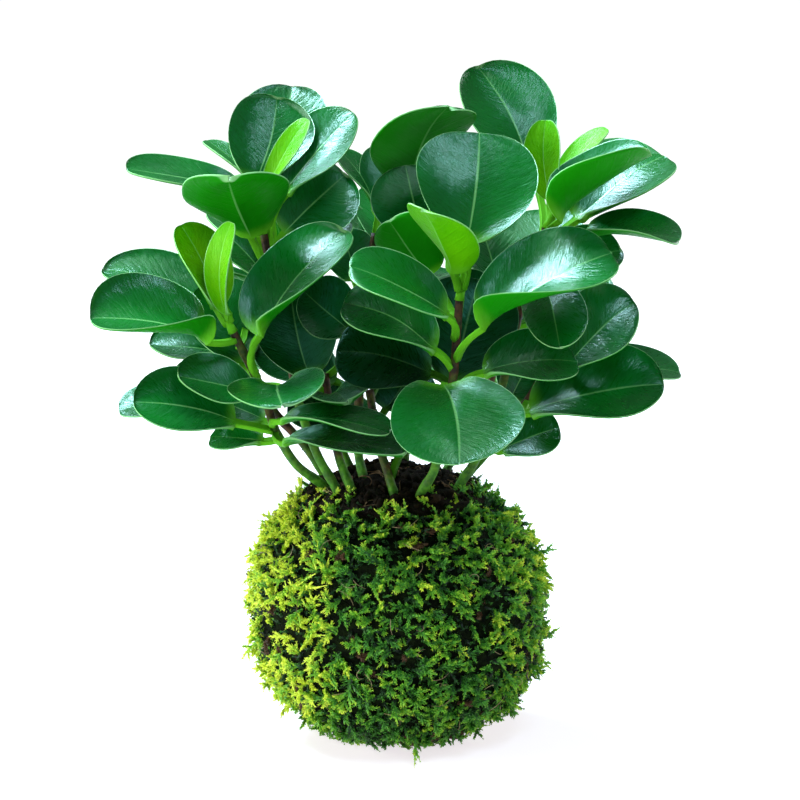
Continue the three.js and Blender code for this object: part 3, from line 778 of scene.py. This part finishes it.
def low_growth(material):
    """Short shoots that fill the gaps between the sprigs, dark: own colour and painted shade."""
    angle, turn = even_places(LOW_COUNT, 1.2)
    root, outward = surface(mat_inset(angle, turn), angle, turn)
    count = len(root)
    level = rng.normal(size=(count, 3))
    level = unit(flattened(level, outward))
    heading = unit(level + outward * rng.uniform(0.3, 1.2, (count, 1)))
    end = root + heading * rng.uniform(*LOW_LENGTHS, (count, 1))
    bend = (root + end) / 2 + outward * 0.5
    growth = Sheets()
    add_shoots(growth, root - outward * 0.4, bend, end, outward, -0.1, 0.3, LOW_ROWS, LOW_GIRTH,
               rng.uniform(*LOW_TONES, count))
    return growth.build("moss_low_growth", [material], smooth=False)


def moss_sprigs(material):
    """All sprigs, in one piece for each sector of the ball."""
    root, outward, away, far, cushion = sprig_roots()
    count = len(root)
    length = rng.uniform(*SPRIG_LENGTHS, count)
    length[rng.uniform(size=count) < LONG_SHARE] *= LONG_GROWTH
    cushion_tone = rng.uniform(-CUSHION_SPREAD, CUSHION_SPREAD, cushion.max() + 1)[cushion]
    x, y, z = root.T
    turn = np.arctan2(y, x)
    side = x / BALL_RADIUS
    sunny = (SUN_ON_LEFT * np.clip((-side - 0.22) / 0.55, 0, 1)
             + SUN_ON_RIGHT * np.clip((side - 0.55) / 0.35, 0, 1))
    sunny *= 1 - BACK_SHADE * np.clip(y / 35, 0, 1)
    dim = LOW_SHADE * np.clip((48 - z) / 40, 0, 1)
    lumps = LUMP_TONE * ball_lumps((z - BALL_CENTRE_HEIGHT) / 22, 0.5 * turn + 0.8)
    crown = CROWN_LIGHT * np.clip((z - 84) / 12, 0, 1)
    tone = MIDDLE_TONE + TONE_SPREAD * rng.normal(size=count) + cushion_tone
    tone = np.clip(tone + sunny + lumps + crown - dim, 0.06, 1.3)
    low = np.clip((DRY_HEIGHT - z) / DRY_HEIGHT, 0, 1) * (x > -20)
    tone[rng.uniform(size=count) < DRY_SHARE + 0.3 * low] = DRY_TONE
    length[tone < 0] *= DRY_LENGTH
    pieces = []
    sector = (np.mod(turn, 2 * np.pi) // (2 * np.pi / len(SECTORS))).astype(int)
    for number, where in enumerate(SECTORS):
        own = [rows[sector == number] for rows in (root, outward, away, far, length, tone)]
        pieces.append(sprigs(*own, f"moss_sprigs_{where}", material))
    return pieces


def moss_threads(material):
    """Dry curled threads among the sprigs."""
    angle, turn = even_places(THREAD_COUNT, 6)
    root, outward = surface(THREAD_INSET, angle, turn)
    threads = Sheets()
    t = np.linspace(0, 1, 10)[:, None]
    for place, out in zip(root, outward):
        level = unit(np.cross(out, rng.normal(size=3)))
        other = np.cross(out, level)
        length = rng.uniform(*THREAD_LENGTHS)
        curl = rng.uniform(-THREAD_CURL, THREAD_CURL)
        path = (place + level * length * np.sin(curl * t) / curl
                + other * length * (1 - np.cos(curl * t)) / curl
                + out * np.sin(np.pi * t) * rng.uniform(0.6, 2.4))
        path[:, 2] = np.maximum(path[:, 2], 0.5)
        add_tube(threads, path, THREAD_RADIUS * (1 - 0.6 * t[:, 0]), 4, 0, tone=rng.uniform())
    return threads.build("moss_threads", [material])


# The soil, in millimetres

SOIL_CRUMBS = 700
CRUMB_SIZES = (0.5, 1.5)
CRUMB_SHARE = 0.85
CHIP_SIZES = (1.6, 2.6)
SOIL_ROOTS = 30
ROOT_RADIUS = 0.22
ROOT_LENGTHS = (5, 12)
ROOT_TONE = 1.6
GOLDEN = (1 + math.sqrt(5)) / 2
SOIL_REACH = OPENING_RADIUS + 4

# A crumb is an icosahedron: its corners at length one, and its faces

CRUMB = unit(np.array([np.roll((0, near, far * GOLDEN), -axis) for axis in range(3)
                       for far in (1, -1) for near in (1, -1)]))
CRUMB_FACES = np.array([(0, 1, 8), (0, 10, 1), (0, 4, 5), (0, 8, 4), (0, 5, 10), (3, 2, 9),
                        (3, 11, 2), (2, 4, 9), (2, 5, 4), (2, 11, 5), (1, 6, 8), (1, 7, 6),
                        (1, 10, 7), (3, 9, 6), (3, 6, 7), (3, 7, 11), (4, 8, 9), (6, 9, 8),
                        (5, 11, 10), (7, 10, 11)])


def crown_height(share):
    """The height of the soil at a share of its reach."""
    return SOIL_EDGE_HEIGHT + SOIL_CROWN * (1 - share ** 2)


def soil_top(material):
    """The soil in the opening: a rough crown with crumbs, chips and fine roots."""
    rings, sectors = 44, 120
    share = np.linspace(0, 1, rings)[:, None]
    turn = compass(sectors)
    x = SOIL_REACH * share * np.cos(turn)
    y = SOIL_REACH * share * np.sin(turn)
    rough = (np.sin(0.7 * x + 1.9 * np.sin(0.5 * y)) + np.sin(0.9 * y - 0.4 * x + 2)
             + 0.6 * np.sin(1.9 * x + 1.1 * y) + 0.6 * np.sin(2.3 * y - 1.4 * x))
    z = crown_height(share) + 0.55 * rough * np.minimum(1, 4 * share)
    top_lean = BALL_LEAN * (SOIL_EDGE_HEIGHT / BALL_TOP) ** 2
    points = np.stack([x - top_lean, y, z], axis=-1)
    below = points[-1:].copy()
    below[..., 2] = SOIL_EDGE_HEIGHT - 12
    points = np.concatenate([points[1:], below]).reshape(-1, 3)
    centre = np.array([[-top_lean, 0, SOIL_EDGE_HEIGHT + SOIL_CROWN]])
    quads = ring_faces(rings, sectors, outward=False)
    ring = np.arange(sectors)
    fan = joined(len(points), ring, (ring + 1) % sectors)
    last = (rings - 1) * sectors
    soil = Sheets()
    soil.add(np.vstack([points, centre]),
             {0: [quads, fan, (last + ring)[::-1][None]]}, tone=0.5)
    for _ in range(SOIL_CRUMBS):
        reach = (OPENING_RADIUS + 1) * math.sqrt(rng.uniform())
        way = rng.uniform(0, 2 * np.pi)
        size = rng.uniform(*(CRUMB_SIZES if rng.uniform() < CRUMB_SHARE else CHIP_SIZES))
        height = crown_height(reach / SOIL_REACH) + 0.3 * size
        middle = np.array([reach * math.cos(way) - top_lean, reach * math.sin(way), height])
        shape = CRUMB * rng.uniform(0.6, 1.25, (12, 1)) * rng.uniform(0.6, 1.3, 3)
        soil.add(middle + size * shape, {0: [CRUMB_FACES]}, tone=rng.uniform())
    for _ in range(SOIL_ROOTS):
        way = rng.uniform(0, 2 * np.pi)
        reach = (OPENING_RADIUS - 4) * math.sqrt(rng.uniform())
        foot = reach * level_way(way)
        t = np.linspace(0, 1, 9)[:, None]
        course = rng.uniform(0, 2 * np.pi)
        path = foot + level_way(course) * rng.uniform(*ROOT_LENGTHS) * t
        path += np.array([-math.sin(course), math.cos(course), 0]) * np.sin(5 * t + course) * 1.3
        spread = np.hypot(path[:, 0], path[:, 1]) / SOIL_REACH
        path[:, 2] = crown_height(spread) + 0.9 + 0.5 * np.sin(6 * t[:, 0])
        path[:, 0] -= top_lean
        add_tube(soil, path, ROOT_RADIUS, 5, 0, tone=ROOT_TONE)
    return soil.build("soil_top", [material])


# Materials, with linear colours

LEAF_GREENS = ((0.0006, 0.033, 0.0045), (0.0018, 0.120, 0.0095))
YOUNG_GREENS = ((0.034, 0.29, 0.0004), (0.097, 0.32, 0.0006))
UNDER_GREENS = ((0.002, 0.105, 0.0007), (0.005, 0.182, 0.0013))
YOUNG_UNDER_GREENS = ((0.042, 0.265, 0.0005), (0.092, 0.37, 0.001))
RIB_GREEN = (0.24, 0.56, 0.18)
RIM_GREEN = (0.34, 0.62, 0.28)
STALK_GREEN = (0.10, 0.36, 0.012)
# Painted shade for leaves deep inside: the green they darken to, and the share of their own green
# kept
PAINTED_SHADE_GREEN = (0.0004, 0.008, 0.001)
PAINTED_SHADE_LIGHTNESS = 0.2
TEAL_GLOSS = (0.18, 0.9, 0.66, 1)
YOUNG_GLOSS = (0.3, 1.0, 0.1, 1)
UNDER_GLOSS = (0.15, 0.9, 0.1, 1)
OUTER_COAT = 0.72
# Less coat on leaves deep inside: painted shade that dulls their gloss
SHADED_COAT = 0.10
YOUNG_COAT = 0.0
STEM_GREENS = ((0.02, 0.10, 0.004), (0.08, 0.25, 0.012))
BARK_BROWNS = ((0.008, 0.004, 0.002), (0.07, 0.028, 0.010))
# The moss's greens from dark roots to bright tips; the palest also carry the painted sun on the
# sides
MOSS_GREENS = ((0.0, (0.002, 0.008, 0.002)), (0.28, (0.009, 0.058, 0.005)),
               (0.52, (0.060, 0.26, 0.018)), (0.78, (0.20, 0.45, 0.016)),
               (1.0, (0.62, 0.72, 0.045)))
DRY_MOSS = (0.10, 0.045, 0.018)
STRAWS = ((0.10, 0.05, 0.02), (0.42, 0.33, 0.17))
STRAW_SPOTS = (0.05, 0.03, 0.01)
# The mat: its own dark colour, made near-black as painted shade between the fronds
MAT_DARKS_AND_SHADE = ((0.0015, 0.0025, 0.001), (0.006, 0.011, 0.002))
SOIL_BROWNS = ((0.003, 0.002, 0.001), (0.018, 0.011, 0.005))
ROOT_BROWN = (0.16, 0.09, 0.045)
FLOOR_GREYS = ((0.49, 0.49, 0.49), (0.51, 0.51, 0.51))
FLOOR_GLOW = (1.0, 0.93, 0.97, 1)
FLOOR_GLOW_STRENGTH = 0.76


class Look:
    """A material whose nodes feed one Principled shader with this specular level."""

    def __init__(self, name, specular, **constants):
        self.material = bpy.data.materials.new(name)
        self.material.use_nodes = True
        self.tree = self.material.node_tree
        self.shader = self.tree.nodes["Principled BSDF"]
        self.shader.inputs["Specular IOR Level"].default_value = specular
        for key, value in constants.items():
            self.shader.inputs[key.replace("_", " ")].default_value = value
        self.place = self.node("ShaderNodeTexCoord").outputs["Object"]

    def node(self, kind, settings=None, **inputs):
        node = self.tree.nodes.new(kind)
        for key, value in (settings or {}).items():
            setattr(node, key, value)
        for key, value in inputs.items():
            self.feed(node.inputs[key.replace("_", " ")], value)
        return node

    def feed(self, socket, value):
        if isinstance(value, bpy.types.NodeSocket):
            self.tree.links.new(value, socket)
        else:
            socket.default_value = value

    def value(self, name):
        return self.node("ShaderNodeAttribute", {"attribute_name": name}).outputs["Fac"]

    def math(self, operation, *numbers, clamp=False):
        node = self.node("ShaderNodeMath", {"operation": operation, "use_clamp": clamp})
        for socket, number in zip(node.inputs, numbers):
            self.feed(socket, number)
        return node.outputs[0]

    def plus(self, first, second, clamp=False):
        return self.math("ADD", first, second, clamp=clamp)

    def times(self, first, second):
        return self.math("MULTIPLY", first, second)

    def band(self, value, low, high, start=0, end=1):
        """Turns low..high into start..end, softly."""
        node = self.node("ShaderNodeMapRange", {"interpolation_type": "SMOOTHSTEP"}, Value=value,
                         From_Min=low, From_Max=high, To_Min=start, To_Max=end)
        return node.outputs["Result"]

    def noise(self, scale, detail=3, roughness=0.55):
        node = self.node("ShaderNodeTexNoise", Vector=self.place, Scale=scale, Detail=detail,
                         Roughness=roughness)
        return node.outputs["Fac"]

    def mix(self, share, first, second):
        node = self.node("ShaderNodeMix", {"data_type": "RGBA"})
        for socket, value in ((node.inputs[0], share), (node.inputs[6], first),
                              (node.inputs[7], second)):
            self.feed(socket, (*value, 1) if isinstance(value, tuple) else value)
        return node.outputs[2]

    def bump(self, height, strength, distance):
        node = self.node("ShaderNodeBump", Height=height, Strength=strength, Distance=distance)
        for socket in ("Normal", "Coat Normal"):
            self.tree.links.new(node.outputs["Normal"], self.shader.inputs[socket])

    def finish(self, color, roughness):
        self.feed(self.shader.inputs["Base Color"], color)
        self.feed(self.shader.inputs["Roughness"], roughness)
        return self.material


def leaf_colour(look, greens, young_greens, rib, rim):
    """The green of a blade with its ribs, rim and patches, and painted shade deep in the plant."""
    tone, youth = look.value("tone"), look.value("youth")
    across, along = look.value("across"), look.value("along")
    patches = look.noise(28, 4)
    # The tone mixes dark and middle greens: partly at random, partly painted shade on inner leaves
    blend = look.plus(look.times(tone, 0.5), look.band(patches, 0.3, 0.7, 0, 0.55))
    green = look.mix(blend, *greens)
    fresh = look.mix(look.band(patches, 0.3, 0.7), *young_greens)
    green = look.mix(youth, green, fresh)
    fade = look.band(along, 0.0, 1.0, 1.0, 0.4)
    line = look.times(look.band(across, 0.008, 0.03, 1, 0), fade)
    green = look.mix(look.times(line, rib), green, RIB_GREEN)
    edge = look.band(look.value("rim"), 0.0, 0.35, 1, 0)
    green = look.mix(look.times(edge, rim), green, RIM_GREEN)
    stalk = look.band(along, -0.02, 0.14, 1, 0)
    green = look.mix(stalk, green, STALK_GREEN)
    # Painted shade: leaves deep inside darken towards the shade green; young leaves are spared
    lit = look.math("MAXIMUM", look.band(tone, 0.0, 0.6, PAINTED_SHADE_LIGHTNESS, 1), youth)
    return look.mix(lit, PAINTED_SHADE_GREEN, green), across, along


def vein_height(look, across, along):
    """Faint side veins that run from the midrib towards the rim, and the fine streaks between."""
    phase = look.math("SUBTRACT", look.times(along, 7), look.times(across, 2.0))
    wave = look.math("SINE", look.times(phase, 2 * math.pi))
    own = look.times(look.value("tone"), 60)
    place = look.node("ShaderNodeCombineXYZ", X=look.times(phase, 4.5),
                      Y=look.times(across, 4), Z=own)
    streaks = look.node("ShaderNodeTexNoise", Vector=place.outputs[0], Scale=1.0, Detail=5,
                        Roughness=0.65)
    return look.band(wave, 0.8, 1.0), streaks.outputs["Fac"]


def leaf_upper(name, coat, gloss):
    look = Look(name, 0.34, Specular_Tint=gloss, Coat_Weight=coat, Coat_Roughness=0.17,
                Coat_IOR=1.42)
    color, across, along = leaf_colour(look, LEAF_GREENS, YOUNG_GREENS, 0.7, 0.7)
    veins, streaks = vein_height(look, across, along)
    height = look.plus(look.noise(90, 2), look.times(veins, -0.04))
    look.bump(look.plus(look.times(streaks, 0.55), height), 0.45, 0.0012)
    return look.finish(color, look.band(streaks, 0.3, 0.7, 0.22, 0.42))


def leaf_under():
    look = Look("leaf_underside", 0.12, Specular_Tint=UNDER_GLOSS)
    color, across, along = leaf_colour(look, UNDER_GREENS, YOUNG_UNDER_GREENS, 0.45, 0.6)
    veins, streaks = vein_height(look, across, along)
    look.bump(look.plus(streaks, look.times(veins, 0.25)), 0.3, 0.0008)
    return look.finish(color, look.band(streaks, 0.3, 0.7, 0.42, 0.56))


def stem_bark():
    look = Look("stem_bark", 0.2)
    grain = look.noise(420, 5)
    green = look.mix(look.band(grain, 0.3, 0.75), *STEM_GREENS)
    brown = look.mix(look.band(grain, 0.3, 0.7), *BARK_BROWNS)
    spots = look.band(look.noise(160), 0.3, 0.7, -0.3, 0.3)
    share = look.plus(look.value("bark"), spots, clamp=True)
    look.bump(grain, 0.5, 0.001)
    return look.finish(look.mix(share, green, brown), look.band(grain, 0.3, 0.7, 0.45, 0.7))


def moss_green():
    """Dark roots, bright tips, with a tone of own colour and painted light and shade, or dry."""
    look = Look("moss_green", 0.35)
    rise, tone = look.value("rise"), look.value("tone")
    patches = look.band(look.noise(40, 3), 0.32, 0.68)
    # Darker towards a sprig's roots: partly its own colour, partly painted shade deep in the moss
    light = look.plus(look.times(rise, 0.68), look.times(tone, 0.50))
    light = look.plus(light, look.band(patches, 0, 1, -0.12, 0.06), clamp=True)
    ramp = look.node("ShaderNodeValToRGB", Fac=light)
    for _ in range(len(MOSS_GREENS) - 2):
        ramp.color_ramp.elements.new(0.5)
    for element, (place, color) in zip(ramp.color_ramp.elements, MOSS_GREENS):
        element.position = place
        element.color = (*color, 1)
    dry = look.times(look.band(tone, -0.2, -0.6), 0.85)
    return look.finish(look.mix(dry, ramp.outputs["Color"], DRY_MOSS), 0.6)


def dry_thread():
    look = Look("moss_thread", 0.3)
    straw = look.mix(look.value("tone"), *STRAWS)
    spots = look.band(look.noise(900, 3), 0.35, 0.7, 0, 0.5)
    return look.finish(look.mix(spots, straw, STRAW_SPOTS), 0.7)


def moss_dark():
    look = Look("moss_mat", 0.06)
    grain = look.noise(300, 5)
    look.bump(grain, 1.0, 0.002)
    return look.finish(look.mix(look.band(grain, 0.35, 0.7), *MAT_DARKS_AND_SHADE), 0.9)


def soil_dark():
    look = Look("soil", 0.08)
    grain = look.noise(500, 6, 0.7)
    crumbs = look.mix(look.band(grain, 0.3, 0.75), *SOIL_BROWNS)
    is_root = look.band(look.value("tone"), 0.7, ROOT_TONE)
    look.bump(grain, 1.0, 0.0015)
    return look.finish(look.mix(is_root, crumbs, ROOT_BROWN), 0.85)


def pale_floor():
    look = Look("pale_floor", 0.0, Emission_Color=FLOOR_GLOW,
                Emission_Strength=FLOOR_GLOW_STRENGTH)
    tint = look.mix(look.band(look.noise(3, 2), 0.3, 0.7), *FLOOR_GREYS)
    return look.finish(tint, 0.9)


# The pieces

under, bark = leaf_under(), stem_bark()
# A copy of the upper side with little coat: painted shade for leaves deep inside
deep = leaf_upper("shaded_leaf_upper", SHADED_COAT, TEAL_GLOSS)
grown_materials = [leaf_upper("leaf_upper", OUTER_COAT, TEAL_GLOSS), under, bark, deep]
young_upper = leaf_upper("young_leaf_upper", YOUNG_COAT, YOUNG_GLOSS)
young_materials = [young_upper, under, bark, young_upper]
for plant in STEMS:
    for piece, node, slot in foliage(plant, grown_materials, young_materials):
        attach(piece, "root")
        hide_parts(node)

green = moss_green()
moss_pieces = [moss_mat(moss_dark()), moss_threads(dry_thread()), low_growth(green),
               *moss_sprigs(green)]
for piece in moss_pieces:
    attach(piece, "root")
    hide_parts("moss_cover")

soil = soil_top(soil_dark())
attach(soil, "root")
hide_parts("soil_ball")

# Floor, lights and camera, in metres and watts

FLOOR_RADIUS = 16
AIR = (0.78, 0.97, 0.95, 1)
AIR_STRENGTH = 0.20
LIT_PLACE = (0, 0, 0.16)
WHITE = (0.97, 0.99, 1.0)
WARM = (1.0, 0.99, 0.93)
COOL = (0.60, 0.79, 1.0)
SOFTBOXES = (
    ("window_back_left", (-0.68, 0.40, 1.25), (0.66, 0.50), 64, COOL),
    ("window_front", (0.36, -0.95, 1.35), (0.60, 0.40), 11, COOL),
    ("fill_left", (-1.6, -0.35, 0.45), (0.9, 0.9), 30, WARM),
    ("fill_right", (1.3, 0.75, 0.5), (0.7, 0.7), 12, WHITE),
)
SKY_PLACE = (-0.5, 0.1, 2)
SKY_COLOUR = (0.74, 1.0, 0.82)
SKY_STRENGTH = 1.6
SKY_SPREAD = math.radians(40)

bpy.ops.mesh.primitive_circle_add(vertices=96, radius=FLOOR_RADIUS, fill_type="NGON",
                                  location=(0, 0, 0))
floor = bpy.context.object
floor.name = "floor"
floor.data.materials.append(pale_floor())

scene = bpy.context.scene
scene.view_settings.view_transform = "Standard"
world = bpy.data.worlds.new("studio")
world.use_nodes = True
background = world.node_tree.nodes["Background"].inputs
background["Color"].default_value = AIR
background["Strength"].default_value = AIR_STRENGTH
scene.world = world


def stand(name, data, place, target):
    """Puts a light or the camera at a place, turned towards its target."""
    thing = bpy.data.objects.new(name, data)
    thing.location = place
    way = Vector(target) - thing.location
    thing.rotation_euler = way.to_track_quat("-Z", "Y").to_euler()
    scene.collection.objects.link(thing)
    return thing


for name, place, size, power, color in SOFTBOXES:
    box = bpy.data.lights.new(name, "AREA")
    box.shape = "RECTANGLE"
    box.size, box.size_y = size
    box.energy = power
    box.color = color
    stand(name, box, place, LIT_PLACE)

sky = bpy.data.lights.new("sky", "SUN")
sky.energy = SKY_STRENGTH
sky.color = SKY_COLOUR
sky.angle = SKY_SPREAD
stand("sky", sky, SKY_PLACE, (0, 0, 0))

camera_data = bpy.data.cameras.new("camera")
camera_data.lens = CAMERA_LENS
camera_data.sensor_width = CAMERA_SENSOR
back = Vector((0, -math.cos(CAMERA_RISE), math.sin(CAMERA_RISE)))
scene.camera = stand("camera", camera_data, CAMERA_TARGET + CAMERA_DISTANCE * back, CAMERA_TARGET)
